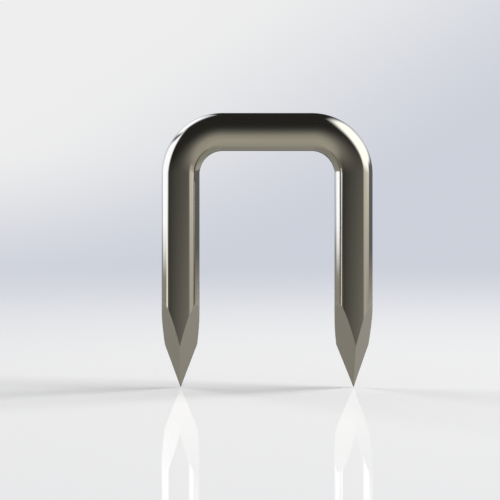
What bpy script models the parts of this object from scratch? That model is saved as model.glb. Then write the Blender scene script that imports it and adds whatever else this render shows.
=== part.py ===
"""A bright round-wire cable staple.

One length of wire is bent into a U with a flat crown and two parallel legs.
Each leg ends in a three-sided point, ground so that its tip lies on the axis of the wire.
The staple stands on its points: +Z runs up to the crown, X across the legs, Y through the wire.
"""

import math

import bmesh
import bpy
from mathutils import Matrix, Vector

# Driving dimensions of the staple, in metres
WIRE_DIAMETER = 0.00343
LEG_GAP = 0.01227
OVERALL_LENGTH = 0.0249
BEND_INSIDE_RADIUS = 0.00211

# The points: the length runs from the tip up to where a facet runs out on the round wire
POINT_LENGTH = 0.00764
POINT_FACETS = 3

# The pointing dies that cut the facets, and the stub of wire that they crop off below each tip
CROPPED_STUB = 0.0006
DIE_CLEARANCE = 0.0008
DIE_WALL = 0.0010

# Fineness of the round surfaces
WIRE_SIDES = 48
BEND_STEPS = 16
DIE_SIDES = 32
WELD_DISTANCE = 1e-7
SHARP_ANGLE = math.radians(30)

# Bright plated steel
METAL_COLOUR = (0.66, 0.63, 0.56, 1.0)
METAL_ROUGHNESS = 0.14

# Sizes that follow from the driving dimensions
WIRE_RADIUS = WIRE_DIAMETER / 2
LEG_OFFSET = LEG_GAP / 2 + WIRE_RADIUS
CROWN_HEIGHT = OVERALL_LENGTH - WIRE_RADIUS
BEND_RADIUS = BEND_INSIDE_RADIUS + WIRE_RADIUS
FACET_SLOPE = WIRE_RADIUS / POINT_LENGTH


def clear_scene():
    for old in list(bpy.data.objects):
        bpy.data.objects.remove(old, do_unlink=True)


def new_collection(name):
    collection = bpy.data.collections.new(name)
    bpy.context.scene.collection.children.link(collection)
    return collection


def bright_steel():
    material = bpy.data.materials.new("bright_plated_steel")
    material.use_nodes = True
    material.diffuse_color = METAL_COLOUR
    shader = material.node_tree.nodes["Principled BSDF"]
    shader.inputs["Base Color"].default_value = METAL_COLOUR
    shader.inputs["Metallic"].default_value = 1.0
    shader.inputs["Roughness"].default_value = METAL_ROUGHNESS
    return material


def bend_points(side):
    """The centre line of one bend, from the top of its leg to the end of the crown. side is -1 or 1."""
    centre = Vector((side * (LEG_OFFSET - BEND_RADIUS), 0.0, CROWN_HEIGHT - BEND_RADIUS))
    points = []
    for step in range(BEND_STEPS + 1):
        angle = math.pi / 2 * step / BEND_STEPS
        reach = Vector((side * math.cos(angle), 0.0, math.sin(angle)))
        points.append(centre + BEND_RADIUS * reach)
    return points


def centre_line():
    """The whole centre line: up the left leg, over the crown and down the right leg."""
    left_end = Vector((-LEG_OFFSET, 0.0, -CROPPED_STUB))
    right_end = Vector((LEG_OFFSET, 0.0, -CROPPED_STUB))
    return [left_end, *bend_points(-1), *reversed(bend_points(1)), right_end]


def wire_curve():
    """The bent wire as a curve with a round section, before its ends are pointed."""
    curve = bpy.data.curves.new("staple_wire_curve", "CURVE")
    curve.dimensions = "3D"
    curve.fill_mode = "FULL"
    curve.bevel_depth = WIRE_RADIUS
    curve.bevel_resolution = WIRE_SIDES // 2 - 2
    curve.use_fill_caps = True
    points = centre_line()
    spline = curve.splines.new("POLY")
    spline.points.add(len(points) - 1)
    for target, point in zip(spline.points, points):
        target.co = (*point, 1.0)
    return bpy.data.objects.new("staple_wire_curve", curve)


def mesh_from_curve(curve_object, name, collection):
    """The curve as a mesh object whose end caps are welded on, ready to be cut."""
    collection.objects.link(curve_object)
    bpy.context.view_layer.update()
    graph = bpy.context.evaluated_depsgraph_get()
    mesh = bpy.data.meshes.new_from_object(curve_object.evaluated_get(graph))
    mesh.name = name
    shape = bmesh.new()
    shape.from_mesh(mesh)
    bmesh.ops.remove_doubles(shape, verts=shape.verts, dist=WELD_DISTANCE)
    bmesh.ops.recalc_face_normals(shape, faces=shape.faces)
    shape.to_mesh(mesh)
    shape.free()
    mesh.shade_smooth()
    mesh.set_sharp_from_angle(angle=SHARP_ANGLE)
    piece = bpy.data.objects.new(name, mesh)
    piece.matrix_world = curve_object.matrix_world.copy()
    collection.objects.link(piece)
    bpy.data.objects.remove(curve_object, do_unlink=True)
    return piece


def new_cutter(name, shape, collection):
    mesh = bpy.data.meshes.new(name)
    shape.to_mesh(mesh)
    shape.free()
    cutter = bpy.data.objects.new(name, mesh)
    cutter.display_type = "WIRE"
    cutter.hide_render = True
    collection.objects.link(cutter)
    return cutter


def add_cut(target, name, cutter):
    cut = target.modifiers.new(name, "BOOLEAN")
    cut.operation = "DIFFERENCE"
    cut.solver = "EXACT"
    cut.object = cutter


def pyramid_radius(height):
    """The corner radius of the point's pyramid at a height above its tip."""
    return height * FACET_SLOPE / math.cos(math.pi / POINT_FACETS)


def point_pyramid(name, collection):
    """The pyramid of one point, tip down at the origin, with one of its edges at the front."""
    height = POINT_LENGTH + 2 * DIE_CLEARANCE
    tip_to_origin = Matrix.Translation((0.0, 0.0, height / 2))
    edge_to_front = Matrix.Rotation(math.pi, 4, "Z")
    shape = bmesh.new()
    bmesh.ops.create_cone(
        shape,
        cap_ends=True,
        segments=POINT_FACETS,
        radius1=0.0,
        radius2=pyramid_radius(height),
        depth=height,
        matrix=edge_to_front @ tip_to_origin,
    )
    return new_cutter(name, shape, collection)


def die_block(name, collection):
    """A round block from below the cropped stub to just above the point."""
    floor = -(CROPPED_STUB + DIE_WALL)
    top = POINT_LENGTH + DIE_CLEARANCE
    radius = pyramid_radius(top) + DIE_WALL
    shape = bmesh.new()
    bmesh.ops.create_cone(
        shape,
        cap_ends=True,
        segments=DIE_SIDES,
        radius1=radius,
        radius2=radius,
        depth=top - floor,
        matrix=Matrix.Translation((0.0, 0.0, (top + floor) / 2)),
    )
    return new_cutter(name, shape, collection)


def pointing_die(side_name, side, collection):
    """A block with a pyramid-shaped hollow. It cuts away the wire that doesn't fit in the hollow."""
    block = die_block(f"{side_name}_pointing_die", collection)
    pyramid = point_pyramid(f"{side_name}_point_pyramid", collection)
    add_cut(block, "pyramid_hollow", pyramid)
    for cutter in (block, pyramid):
        cutter.location.x = side * LEG_OFFSET
    return block


def build():
    clear_scene()
    parts = new_collection("cable_staple")
    dies = new_collection("pointing_dies")

    origin = bpy.data.objects.new("cable_staple_origin", None)
    origin.empty_display_size = WIRE_DIAMETER
    parts.objects.link(origin)

    wire = mesh_from_curve(wire_curve(), "staple_wire", parts)
    wire.parent = origin
    wire.data.materials.append(bright_steel())
    for side_name, side in (("left", -1), ("right", 1)):
        add_cut(wire, f"{side_name}_point", pointing_die(side_name, side, dies))


build()
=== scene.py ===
"""The looks of a bright round-wire cable staple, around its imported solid."""

import math
from collections import namedtuple

import bpy
import numpy as np
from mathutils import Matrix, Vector


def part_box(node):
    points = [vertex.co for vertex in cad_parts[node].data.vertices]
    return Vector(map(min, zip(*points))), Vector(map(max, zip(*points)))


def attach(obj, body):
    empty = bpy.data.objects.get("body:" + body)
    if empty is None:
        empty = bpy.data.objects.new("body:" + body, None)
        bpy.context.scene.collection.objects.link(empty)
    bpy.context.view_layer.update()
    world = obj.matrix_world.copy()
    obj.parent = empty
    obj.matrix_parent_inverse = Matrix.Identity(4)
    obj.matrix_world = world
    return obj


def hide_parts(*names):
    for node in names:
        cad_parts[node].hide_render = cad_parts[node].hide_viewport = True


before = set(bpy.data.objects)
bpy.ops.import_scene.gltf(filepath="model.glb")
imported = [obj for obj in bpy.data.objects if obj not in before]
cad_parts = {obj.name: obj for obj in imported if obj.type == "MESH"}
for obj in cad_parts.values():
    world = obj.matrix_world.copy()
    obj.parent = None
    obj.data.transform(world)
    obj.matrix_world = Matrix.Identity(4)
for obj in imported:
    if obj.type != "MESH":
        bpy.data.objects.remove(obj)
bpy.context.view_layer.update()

# Sizes of the staple in metres: what the frame doesn't state is repeated from its driving dimensions
NODE = "staple_wire"
BOX_LOW, BOX_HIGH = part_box(NODE)
WIRE_RADIUS = (BOX_HIGH.y - BOX_LOW.y) / 2
LEG_OFFSET = (BOX_HIGH.x - BOX_LOW.x) / 2 - WIRE_RADIUS
OVERALL_LENGTH = BOX_HIGH.z - BOX_LOW.z
BEND_INSIDE_RADIUS = 0.00211
POINT_LENGTH = 0.00764
POINT_FACETS = 3

# The edges of the points: their rounding comes to nothing over the last stretch before a tip
EDGE_SOFTNESS = 0.000015
SHARP_TIP = 0.0015
WORN_WIDTH = 4 * EDGE_SOFTNESS

# Sizes and places that follow
CROWN_AXIS = OVERALL_LENGTH - WIRE_RADIUS
BEND_RADIUS = BEND_INSIDE_RADIUS + WIRE_RADIUS
BEND_LENGTH = BEND_RADIUS * math.pi / 2
BEND_START = CROWN_AXIS - BEND_RADIUS
CROWN_END = LEG_OFFSET - BEND_RADIUS
HALF_LENGTH = BEND_START + BEND_LENGTH + CROWN_END
FACET_SLOPE = WIRE_RADIUS / POINT_LENGTH

# Angles of a section run from the front (-Y) round to the inside of the U
FACET_HALF = math.pi / POINT_FACETS
FACET_CENTRES = [math.pi + 2 * FACET_HALF * facet for facet in range(POINT_FACETS)]

# Fineness of the mesh: columns crowd beside the edges of a point, and rows where its facets run out
COLUMNS_PER_HALF_FACET = 22
COLUMN_GRADING = 1.7
POINT_ROWS = 22
RUNOUT_ROWS = 14
RUNOUT_LENGTH = 0.0006
RUNOUT_TOP = POINT_LENGTH + RUNOUT_LENGTH
ROW_GRADING = 2.0
LEG_ROWS = 16
BEND_ROWS = 48
CROWN_ROWS = 8
SETTLING_STEPS = 4
SLOPE_STEP = WIRE_RADIUS * 1e-5
SMALLEST_WIDTH = 1e-12

# The camera, fitted to the photograph's outlines in its 500 by 500 frame
FRAME_PIXELS = 500.0
PIXELS_PER_RADIUS = 18.8826
AXIS_PIXEL_X = 220.06
AXIS_PIXEL_Y = 250.0
STAPLE_PIXEL_X = 267.07
TIP_PIXEL_Y = 387.31
DISTANCE_IN_RADII = 55.0
CAMERA_DISTANCE = DISTANCE_IN_RADII * WIRE_RADIUS
NEAREST_SEEN = 0.001
SENSOR_MM = 36.0

# Finish of the metal: colours, and the least and greatest roughness of the wire and the ground facets
STEEL_COLOUR = (0.665, 0.618, 0.505, 1.0)
STEEL_COLOUR_DEEP = (0.625, 0.578, 0.465, 1.0)
WORN_EDGE_COLOUR = (0.70, 0.66, 0.56, 1.0)
WIRE_ROUGHNESS = (0.05, 0.09)
FACET_ROUGHNESS = (0.14, 0.22)

# Detail of the metal: noise cells per metre across and along the wire, and relief of the drawing lines
LINE_SCALE = (9000.0, 9000.0, 120.0)
LINE_DETAIL = 3.0
LINE_RELIEF = 0.05
LINE_DEPTH = 0.00002
HAZE_SCALE = (420.0, 420.0, 160.0)
HAZE_DETAIL = 4.0

# The pale table, and the backdrop that it fades into
FLOOR_RADIUS = 2.0
FLOOR_SIDES = 96
FLOOR_FADE = 0.14
FLOOR_COLOUR = (0.86, 0.86, 0.86, 1.0)
FLOOR_GLOSS_IOR = 1.33
FLOOR_ROUGHNESS = 0.03
BACKDROP_WHITE = (0.855, 0.855, 0.855, 1.0)
BACKDROP_BLUE = (0.610, 0.635, 0.705, 1.0)
BACKDROP_LEAN = 1.6
BACKDROP_FADE = (-0.40, 0.09)
BACKDROP_RISE = (-0.06, 0.10)
FILL_LEVEL = 0.50

Lamp = namedtuple("Lamp", "name place size power")
Card = namedtuple("Card", "name left right bottom top glow tint")
Oval = namedtuple("Oval", "name centre reach turn edge glow tint")

# Soft lamps that light the floor and give the staple its shadows
LAMPS = (
    Lamp("key", (0.80, 0.08, 0.42), 0.56, 8.5),
    Lamp("side", (-0.72, 0.40, 0.40), 0.56, 3.2),
)

# The dome that the metal reflects
STUDIO_CENTRE = Vector((0.0, 0.0, OVERALL_LENGTH / 2))
DOME_RADIUS = 3.0
DOME_SEGMENTS = 240

# Tints of the light: red, green and blue
PLAIN = (1.0, 1.0, 1.0)
WARM = (1.0, 1.01, 0.95)
MILD = (0.95, 1.0, 1.11)
COOL = (0.93, 1.0, 1.21)

# Directions in the studio are in degrees: azimuth from the front (-Y) towards +X, and elevation.
# The dim room has a brightness by elevation. It is warm low down, and brighter to the right at eye level.
ROOM_ELEVATIONS = (-90, -56, -31, -6, 6, 18, 30, 45)
ROOM_GLOW = (0.42, 0.46, 0.37, 0.165, 0.092, 0.046, 0.030, 0.024)
ROOM_WARMTH = (-40, -5)
ROOM_LEAN = 0.0075
LEAN_SIDES = 80
LEAN_FOOT = (-45, -10)
LEAN_TOP = (20, 40)

# What the metal reflects, each piece over those before it. A card's four edges fade between two angles.
# An oval has a centre, half sizes and a turn in degrees, and fades between two shares of its size.
STUDIO = (
    Oval("top_left_umbrella", (-144, 36), (31, 23), 0.0, (0.50, 1.50), 1.66, COOL),
    Card("left_backdrop", (-181, -175), (-146, -138), (-1, 1), (23, 33), 0.70, COOL),
    Oval("left_umbrella", (-110, 19), (33, 30), 0.0, (0.82, 1.18), 1.60, COOL),
    Card("left_umbrella_shade", (-150, -147), (-140, -126), (2, 6), (27, 33), 1.05, COOL),
    Oval("gap_between_umbrellas", (-126, 36), (24, 5), 27.5, (0.40, 1.40), 0.15, COOL),
    Card("right_box_foot", (52, 63), (97, 104), (-14, -5), (2, 8), 0.53, PLAIN),
    Card("right_box", (51, 63), (97, 104), (-3.5, 20), (30, 45), 1.66, PLAIN),
    Oval("right_umbrella", (96.5, 37), (49.5, 29.5), 0.0, (0.75, 1.25), 1.66, MILD),
    Card("right_umbrella_shade", (118, 142), (150, 165), (8, 14), (33, 41), 0.95, MILD),
    Card("right_flag", (97, 103), (150, 170), (-4, -2), (10, 16.5), 0.155, MILD),
    Card("back_flag", (160, 166), (185, 191), (-4, -2), (88, 90), 0.025, PLAIN),
    Card("table_right", (70, 110), (150, 185), (-92, -60), (-2.6, -0.8), 0.32, PLAIN),
    Card("table_far_right", (70, 110), (150, 175), (-28, -4), (-2.6, -0.8), 0.44, PLAIN),
    Card("table_edge_left", (-112, -100), (-80, -73), (-22, -12), (-1.6, 0.6), 0.15, PLAIN),
    Card("table_left", (150, 185), (240, 295), (-92, -60), (-1.6, 0.6), 0.30, PLAIN),
    Card("table_far_left", (185, 200), (240, 295), (-28, -4), (-1.6, 0.6), 0.335, PLAIN),
    Card("table_shade", (156, 164), (196, 204), (-27, -20), (-2.0, 0.0), 0.12, PLAIN),
    Card("left_foot", (-95, -92), (-86, -82.5), (-8, -4), (0, 1), 1.5, PLAIN),
)

# One row of the mesh round the wire: points, normals, places on the straight wire, facet and edge marks
Row = namedtuple("Row", "points normals straight facet edge")


def section_angles():
    """Angles of the columns, closer together beside the edges of the point."""
    steps = np.arange(COLUMNS_PER_HALF_FACET) / COLUMNS_PER_HALF_FACET
    from_edge = FACET_HALF * steps**COLUMN_GRADING
    to_next_edge = np.append(from_edge, FACET_HALF)[:0:-1]
    angles = []
    for facet in range(POINT_FACETS):
        edge = 2 * FACET_HALF * facet
        angles.extend(edge + from_edge)
        angles.extend(edge + 2 * FACET_HALF - to_next_edge)
    return np.array(angles)


ANGLES = section_angles()
AROUND = np.stack([np.sin(ANGLES), -np.cos(ANGLES)], axis=1)


def soft_max(first, second, width):
    """The larger of two distances, rounded where they are within width of each other."""
    blend = np.maximum(width - np.abs(first - second), 0.0) / np.maximum(width, SMALLEST_WIDTH)
    return np.maximum(first, second) + blend * blend * width / 4


def surface_distances(points):
    """How far points lie outside the round wire and outside each facet, with the tip at the origin."""
    x, y, z = points[..., 0], points[..., 1], points[..., 2]
    distances = [np.hypot(x, y) - WIRE_RADIUS]
    for centre in FACET_CENTRES:
        across = x * math.sin(centre) - y * math.cos(centre)
        distances.append((across - z * FACET_SLOPE) / math.hypot(1.0, FACET_SLOPE))
    return distances


def outside_distance(points):
    """How far points lie outside the pointed wire with its softened edges."""
    width = EDGE_SOFTNESS * np.clip(points[..., 2] / SHARP_TIP, 0.0, 1.0)
    result, *facets = surface_distances(points)
    for facet in facets:
        result = soft_max(result, facet, width)
    return result


def surface_normals(points):
    """Outward directions of the pointed wire's surface."""
    slopes = []
    for axis in np.eye(3):
        step = SLOPE_STEP * axis
        slopes.append(outside_distance(points + step) - outside_distance(points - step))
    normals = np.stack(slopes, axis=-1)
    return normals / np.linalg.norm(normals, axis=-1, keepdims=True)


def settle_on_surface(points):
    """Moves points onto the softened surface."""
    for _ in range(SETTLING_STEPS):
        normals = surface_normals(points)
        points = points - outside_distance(points)[..., None] * normals
    return points


def edge_nearness(points):
    """1 on an edge of the point, falling to 0 a short way from it."""
    ordered = np.sort(np.stack(surface_distances(points)), axis=0)
    return np.clip(1.0 - (ordered[-1] - ordered[-2]) / WORN_WIDTH, 0.0, 1.0)


def facet_top():
    """The height on each column where the facet meets the round wire."""
    full_turn = 2 * math.pi
    off_centre = [(ANGLES - centre + math.pi) % full_turn - math.pi for centre in FACET_CENTRES]
    return POINT_LENGTH * np.cos(np.min(np.abs(off_centre), axis=0))


def point_row(flat, height, facet):
    """One row round the left leg, from places across the wire and heights above the tip."""
    points = settle_on_surface(np.column_stack([flat, height]))
    return Row(
        points=points - [LEG_OFFSET, 0.0, 0.0],
        normals=surface_normals(points),
        straight=points - [0.0, 0.0, HALF_LENGTH],
        facet=np.full(len(ANGLES), facet),
        edge=edge_nearness(points),
    )


def point_rows():
    """Rows of the left leg's point, without its tip, and of the wire just above it."""
    top = facet_top()
    rows = []
    for row in range(1, POINT_ROWS + 1):
        share = 1.0 - (1.0 - row / POINT_ROWS) ** ROW_GRADING
        rows.append(point_row(share * WIRE_RADIUS * AROUND, share * top, 1.0))
    for row in range(1, RUNOUT_ROWS + 1):
        share = (row / RUNOUT_ROWS) ** ROW_GRADING
        rows.append(point_row(WIRE_RADIUS * AROUND, top + share * (RUNOUT_TOP - top), 0.0))
    return rows


def wire_row(x, z, turned, travelled):
    """One row round the plain wire: its centre, how far it has turned, and its length from the tip."""
    inside = AROUND[:, 0]
    normals = np.column_stack([inside * math.cos(turned), AROUND[:, 1], -inside * math.sin(turned)])
    along = np.full(len(ANGLES), travelled - HALF_LENGTH)
    return Row(
        points=np.array([x, 0.0, z]) + WIRE_RADIUS * normals,
        normals=normals,
        straight=np.column_stack([WIRE_RADIUS * AROUND, along]),
        facet=np.zeros(len(ANGLES)),
        edge=np.zeros(len(ANGLES)),
    )


def wire_rows():
    """Rows above the left point: up the leg, round the bend and along half of the crown."""
    rows = []
    for step in range(1, LEG_ROWS + 1):
        height = RUNOUT_TOP + (BEND_START - RUNOUT_TOP) * step / LEG_ROWS
        rows.append(wire_row(-LEG_OFFSET, height, 0.0, height))
    for step in range(1, BEND_ROWS + 1):
        turned = math.pi / 2 * step / BEND_ROWS
        x = -CROWN_END - BEND_RADIUS * math.cos(turned)
        z = BEND_START + BEND_RADIUS * math.sin(turned)
        rows.append(wire_row(x, z, turned, BEND_START + BEND_RADIUS * turned))
    for step in range(1, CROWN_ROWS + 1):
        along = CROWN_END * step / CROWN_ROWS
        travelled = BEND_START + BEND_LENGTH + along
        rows.append(wire_row(along - CROWN_END, CROWN_AXIS, math.pi / 2, travelled))
    return rows


def mirrored(row):
    """A row of the left half as it lies on the right half."""
    return row._replace(
        points=row.points * [-1, 1, 1],
        normals=row.normals * [-1, 1, 1],
        straight=row.straight * [1, 1, -1],
    )


def tip_row(first):
    """The two tips, left and right. Their place along the straight wire is that of the first row."""
    place = first.straight[0, 2]
    return Row(
        points=np.array([[-LEG_OFFSET, 0.0, 0.0], [LEG_OFFSET, 0.0, 0.0]]),
        normals=np.array([[0.0, 0.0, -1.0], [0.0, 0.0, -1.0]]),
        straight=np.array([[0.0, 0.0, place], [0.0, 0.0, -place]]),
        facet=np.ones(2),
        edge=np.ones(2),
    )


def staple_faces(row_count):
    """Quads between the rows, and a fan round each tip. The tips are numbered after the rows."""
    columns = len(ANGLES)
    last = (row_count - 1) * columns
    left_tip = row_count * columns
    right_tip = left_tip + 1
    faces = []
    for column in range(columns):
        following = (column + 1) % columns
        faces.append((left_tip, following, column))
        faces.append((right_tip, last + column, last + following))
        for row in range(0, last, columns):
            above = row + columns
            faces.append((row + column, row + following, above + following, above + column))
    return faces


def add_layer(mesh, name, kind, field, values):
    """A value at every point of a mesh, for its material to read."""
    layer = mesh.attributes.new(name, kind, "POINT")
    layer.data.foreach_set(field, values.ravel())


def staple_mesh():
    left = point_rows() + wire_rows()
    rows = left + [mirrored(row) for row in left[-2::-1]]
    whole = Row(*[np.concatenate(values) for values in zip(*rows, tip_row(left[0]))])
    mesh = bpy.data.meshes.new("staple")
    mesh.from_pydata(whole.points.tolist(), [], staple_faces(len(rows)))
    add_layer(mesh, "straight_wire", "FLOAT_VECTOR", "vector", whole.straight)
    add_layer(mesh, "facet", "FLOAT", "value", whole.facet)
    add_layer(mesh, "edge", "FLOAT", "value", whole.edge)
    mesh.shade_smooth()
    mesh.normals_split_custom_set_from_vertices(whole.normals.tolist())
    mesh.validate()
    return mesh


def add_node(tree, kind, label, **settings):
    node = tree.nodes.new(kind)
    node.label = label
    for name, value in settings.items():
        setattr(node, name, value)
    return node


def feed(tree, socket, value):
    """Gives a socket a constant, or links another socket to it."""
    if isinstance(value, bpy.types.NodeSocket):
        tree.links.new(value, socket)
    else:
        socket.default_value = value


def attribute_socket(tree, name, output, label):
    node = add_node(tree, "ShaderNodeAttribute", label, attribute_name=name)
    return node.outputs[output]


def math_node(tree, operation, first, second, label):
    node = add_node(tree, "ShaderNodeMath", label, operation=operation)
    feed(tree, node.inputs[0], first)
    feed(tree, node.inputs[1], second)
    return node.outputs["Value"]


def mix_node(tree, data_type, factor, first, second, label):
    node = add_node(tree, "ShaderNodeMix", label, data_type=data_type)
    feed(tree, node.inputs["Factor"], factor)
    feed(tree, node.inputs["A"], first)
    feed(tree, node.inputs["B"], second)
    return node.outputs["Result"]


def range_node(tree, value, source, target, label, interpolation="LINEAR"):
    """Carries a value from the source range to the target range."""
    node = add_node(tree, "ShaderNodeMapRange", label, interpolation_type=interpolation)
    feed(tree, node.inputs["Value"], value)
    for name, limit in zip(("From Min", "From Max", "To Min", "To Max"), (*source, *target)):
        feed(tree, node.inputs[name], limit)
    return node.outputs["Result"]


def wire_noise(tree, place, scale, detail, label):
    """Noise over the wire as it was before it was bent, so that it follows the bends."""
    stretch = add_node(tree, "ShaderNodeMapping", f"scale of the {label}")
    stretch.inputs["Scale"].default_value = scale
    tree.links.new(place, stretch.inputs["Vector"])
    noise = add_node(tree, "ShaderNodeTexNoise", label)
    noise.inputs["Scale"].default_value = 1.0
    noise.inputs["Detail"].default_value = detail
    tree.links.new(stretch.outputs["Vector"], noise.inputs["Vector"])
    return noise.outputs["Fac"]


def steel_material():
    """Bright plating with a faint haze, drawing lines, ground facets and worn edges."""
    material = bpy.data.materials.new("bright_plated_steel_finish")
    material.use_nodes = True
    tree = material.node_tree
    shader = tree.nodes["Principled BSDF"]
    shader.inputs["Metallic"].default_value = 1.0

    place = attribute_socket(tree, "straight_wire", "Vector", "place on the straight wire")
    facet = attribute_socket(tree, "facet", "Fac", "on a ground facet")
    edge = attribute_socket(tree, "edge", "Fac", "near an edge")
    lines = wire_noise(tree, place, LINE_SCALE, LINE_DETAIL, "drawing lines")
    haze = wire_noise(tree, place, HAZE_SCALE, HAZE_DETAIL, "handling haze")

    plating = mix_node(tree, "RGBA", haze, STEEL_COLOUR, STEEL_COLOUR_DEEP, "plating tone")
    colour = mix_node(tree, "RGBA", edge, plating, WORN_EDGE_COLOUR, "plating worn from the edges")
    tree.links.new(colour, shader.inputs["Base Color"])

    drawn = range_node(tree, haze, (0.0, 1.0), WIRE_ROUGHNESS, "roughness of the drawn wire")
    ground = range_node(tree, lines, (0.0, 1.0), FACET_ROUGHNESS, "roughness of the ground facets")
    roughness = mix_node(tree, "FLOAT", facet, drawn, ground, "roughness")
    tree.links.new(roughness, shader.inputs["Roughness"])

    relief = add_node(tree, "ShaderNodeBump", "drawing lines in relief")
    relief.inputs["Strength"].default_value = LINE_RELIEF
    relief.inputs["Distance"].default_value = LINE_DEPTH
    tree.links.new(lines, relief.inputs["Height"])
    tree.links.new(relief.outputs["Normal"], shader.inputs["Normal"])
    return material


def add_staple():
    piece = bpy.data.objects.new("staple_body", staple_mesh())
    bpy.context.scene.collection.objects.link(piece)
    piece.data.materials.append(steel_material())
    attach(piece, "root")
    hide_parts(NODE)
    return piece


def fade(value, edge):
    """0 before the edge, 1 after it, smooth between."""
    share = np.clip((value - edge[0]) / (edge[1] - edge[0]), 0.0, 1.0)
    return share * share * (3.0 - 2.0 * share)


def card_cover(card, azimuth, elevation):
    """How far a card covers each direction, from 0 to 1."""
    across = np.zeros_like(azimuth)
    for turn in (-360.0, 0.0, 360.0):
        turned = azimuth + turn
        across = np.maximum(across, fade(turned, card.left) * (1.0 - fade(turned, card.right)))
    return across * fade(elevation, card.bottom) * (1.0 - fade(elevation, card.top))


def oval_cover(oval, azimuth, elevation):
    """How far an oval covers each direction, from 0 to 1."""
    across = (azimuth - oval.centre[0] + 180.0) % 360.0 - 180.0
    up = elevation - oval.centre[1]
    turn = math.radians(oval.turn)
    along = across * math.cos(turn) + up * math.sin(turn)
    over = up * math.cos(turn) - across * math.sin(turn)
    return 1.0 - fade(np.hypot(along / oval.reach[0], over / oval.reach[1]), oval.edge)


def room_glow(azimuth, elevation):
    """Light of the room itself, red, green and blue, for arrays of directions."""
    lean = ROOM_LEAN * np.clip(azimuth, -LEAN_SIDES, LEAN_SIDES)
    lean = lean * fade(elevation, LEAN_FOOT) * (1.0 - fade(elevation, LEAN_TOP))
    level = np.interp(elevation, ROOM_ELEVATIONS, ROOM_GLOW) * (1.0 + lean)
    plain = fade(elevation, ROOM_WARMTH)[:, None]
    return level[:, None] * (np.array(WARM) * (1.0 - plain) + np.array(PLAIN) * plain)


def studio_glow(azimuth, elevation):
    """Light of the whole studio, red, green and blue, for arrays of directions."""
    glow = room_glow(azimuth, elevation)
    for item in STUDIO:
        find_cover = oval_cover if isinstance(item, Oval) else card_cover
        cover = find_cover(item, azimuth, elevation)[:, None]
        glow = glow * (1.0 - cover) + item.glow * np.array(item.tint) * cover
    return glow


def dome_material():
    material = bpy.data.materials.new("studio_dome")
    material.use_nodes = True
    material.cycles.emission_sampling = "NONE"
    tree = material.node_tree
    tree.nodes.remove(tree.nodes["Principled BSDF"])
    light = add_node(tree, "ShaderNodeEmission", "studio")
    tree.links.new(attribute_socket(tree, "glow", "Color", "light by direction"), light.inputs["Color"])
    tree.links.new(light.outputs["Emission"], tree.nodes["Material Output"].inputs["Surface"])
    return material


def add_dome(staple):
    """The lights, cards, flags and room that the metal reflects, lighting the staple alone."""
    bpy.ops.mesh.primitive_uv_sphere_add(
        segments=DOME_SEGMENTS,
        ring_count=DOME_SEGMENTS // 2,
        radius=DOME_RADIUS,
        location=STUDIO_CENTRE,
    )
    dome = bpy.context.object
    dome.name = "studio_dome"
    places = np.empty(3 * len(dome.data.vertices))
    dome.data.vertices.foreach_get("co", places)
    x, y, z = places.reshape(-1, 3).T
    azimuth = np.degrees(np.arctan2(x, -y))
    elevation = np.degrees(np.arctan2(z, np.hypot(x, y)))
    glow = np.column_stack([studio_glow(azimuth, elevation), np.ones(len(azimuth))])
    add_layer(dome.data, "glow", "FLOAT_COLOR", "color", glow)
    dome.data.materials.append(dome_material())
    lit = bpy.data.collections.new("lit_by_the_dome")
    lit.objects.link(staple)
    dome.light_linking.receiver_collection = lit
    dome.visible_camera = False
    dome.visible_diffuse = False
    dome.visible_shadow = False


def floor_material():
    """A pale polished table that fades into the backdrop with distance."""
    material = bpy.data.materials.new("pale_floor")
    material.use_nodes = True
    tree = material.node_tree
    tree.nodes.remove(tree.nodes["Principled BSDF"])
    matt = add_node(tree, "ShaderNodeBsdfDiffuse", "pale table")
    matt.inputs["Color"].default_value = FLOOR_COLOUR
    gloss = add_node(tree, "ShaderNodeBsdfGlossy", "polish")
    gloss.inputs["Roughness"].default_value = FLOOR_ROUGHNESS
    shine = add_node(tree, "ShaderNodeFresnel", "shinier at a low angle")
    shine.inputs["IOR"].default_value = FLOOR_GLOSS_IOR
    tree.links.new(shine.outputs["Fac"], gloss.inputs["Color"])
    table = add_node(tree, "ShaderNodeAddShader", "polished table")
    tree.links.new(matt.outputs["BSDF"], table.inputs[0])
    tree.links.new(gloss.outputs["BSDF"], table.inputs[1])

    place = add_node(tree, "ShaderNodeTexCoord", "place on the floor")
    reach = add_node(tree, "ShaderNodeVectorMath", "distance", operation="LENGTH")
    tree.links.new(place.outputs["Object"], reach.inputs[0])
    shares = math_node(tree, "DIVIDE", reach.outputs["Value"], FLOOR_FADE, "in fading distances")
    squared = math_node(tree, "POWER", shares, 2.0, "squared")
    softened = math_node(tree, "ADD", squared, 1.0, "one more")
    cover = math_node(tree, "DIVIDE", 1.0, softened, "how solid the floor is")
    clear = add_node(tree, "ShaderNodeBsdfTransparent", "backdrop shows through")
    blend = add_node(tree, "ShaderNodeMixShader", "fading floor")
    tree.links.new(cover, blend.inputs["Fac"])
    tree.links.new(clear.outputs["BSDF"], blend.inputs[1])
    tree.links.new(table.outputs["Shader"], blend.inputs[2])
    tree.links.new(blend.outputs["Shader"], tree.nodes["Material Output"].inputs["Surface"])
    return material


def add_floor():
    bpy.ops.mesh.primitive_circle_add(vertices=FLOOR_SIDES, radius=FLOOR_RADIUS, fill_type="TRIFAN")
    floor = bpy.context.object
    floor.name = "floor"
    floor.data.materials.append(floor_material())
    floor.visible_glossy = False


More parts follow.
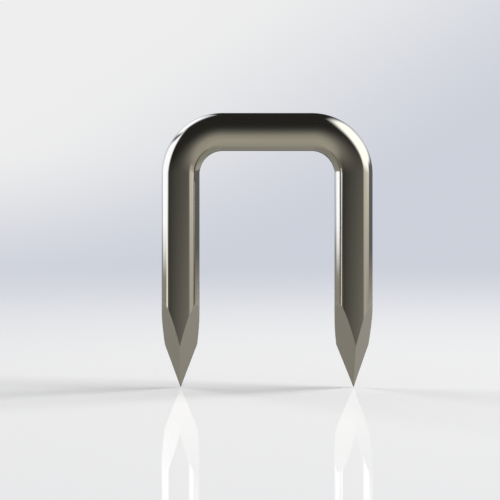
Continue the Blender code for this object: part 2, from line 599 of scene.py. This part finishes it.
def backdrop_colour(tree):
    """White at the upper left, going to pale blue at the right and low down."""
    place = add_node(tree, "ShaderNodeTexCoord", "direction")
    split = add_node(tree, "ShaderNodeSeparateXYZ", "parts of the direction")
    tree.links.new(place.outputs["Generated"], split.inputs["Vector"])
    x = split.outputs["X"]
    z = split.outputs["Z"]
    height = math_node(tree, "MULTIPLY", z, BACKDROP_LEAN, "leaning with height")
    slant = math_node(tree, "SUBTRACT", x, height, "to the right and down")
    left = range_node(tree, slant, BACKDROP_FADE, (1.0, 0.0), "white at the left", "SMOOTHSTEP")
    high = range_node(tree, z, BACKDROP_RISE, (0.0, 1.0), "clearing above eye level", "SMOOTHSTEP")
    white = math_node(tree, "MULTIPLY", left, high, "how white")
    return mix_node(tree, "RGBA", white, BACKDROP_BLUE, BACKDROP_WHITE, "pale backdrop")


def add_world():
    """The backdrop as it is seen and mirrored, which lights the floor at a lower level."""
    world = bpy.data.worlds.new("pale_studio")
    bpy.context.scene.world = world
    world.use_nodes = True
    tree = world.node_tree
    background = tree.nodes["Background"]
    tree.links.new(backdrop_colour(tree), background.inputs["Color"])

    ray = add_node(tree, "ShaderNodeLightPath", "kind of ray").outputs
    seen = math_node(tree, "MAXIMUM", ray["Is Camera Ray"], ray["Is Glossy Ray"], "seen or mirrored")
    seen = math_node(tree, "MAXIMUM", seen, ray["Is Transmission Ray"], "or seen through glass")
    level = range_node(tree, seen, (0.0, 1.0), (FILL_LEVEL, 1.0), "backdrop or fill light")
    tree.links.new(level, background.inputs["Strength"])


def add_lamp(lamp):
    light = bpy.data.lights.new(lamp.name, "AREA")
    light.energy = lamp.power
    light.size = lamp.size
    piece = bpy.data.objects.new(lamp.name, light)
    piece.location = lamp.place
    piece.rotation_euler = (STUDIO_CENTRE - piece.location).to_track_quat("-Z", "Y").to_euler()
    piece.visible_glossy = False
    bpy.context.scene.collection.objects.link(piece)


def add_camera():
    data = bpy.data.cameras.new("camera")
    focal_pixels = PIXELS_PER_RADIUS * CAMERA_DISTANCE / WIRE_RADIUS
    data.sensor_width = SENSOR_MM
    data.lens = SENSOR_MM * focal_pixels / FRAME_PIXELS
    data.shift_x = 0.5 - AXIS_PIXEL_X / FRAME_PIXELS
    data.clip_start = NEAREST_SEEN
    camera = bpy.data.objects.new("camera", data)
    metres_per_pixel = WIRE_RADIUS / PIXELS_PER_RADIUS
    camera.location = (
        (AXIS_PIXEL_X - STAPLE_PIXEL_X) * metres_per_pixel,
        -CAMERA_DISTANCE,
        (TIP_PIXEL_Y - AXIS_PIXEL_Y) * metres_per_pixel,
    )
    camera.rotation_euler = (math.pi / 2, 0.0, 0.0)
    bpy.context.scene.collection.objects.link(camera)
    bpy.context.scene.camera = camera


add_camera()
add_floor()
add_dome(add_staple())
add_world()
for each_lamp in LAMPS:
    add_lamp(each_lamp)
bpy.context.scene.view_settings.view_transform = "Standard"

bpy.context.view_layer.update()
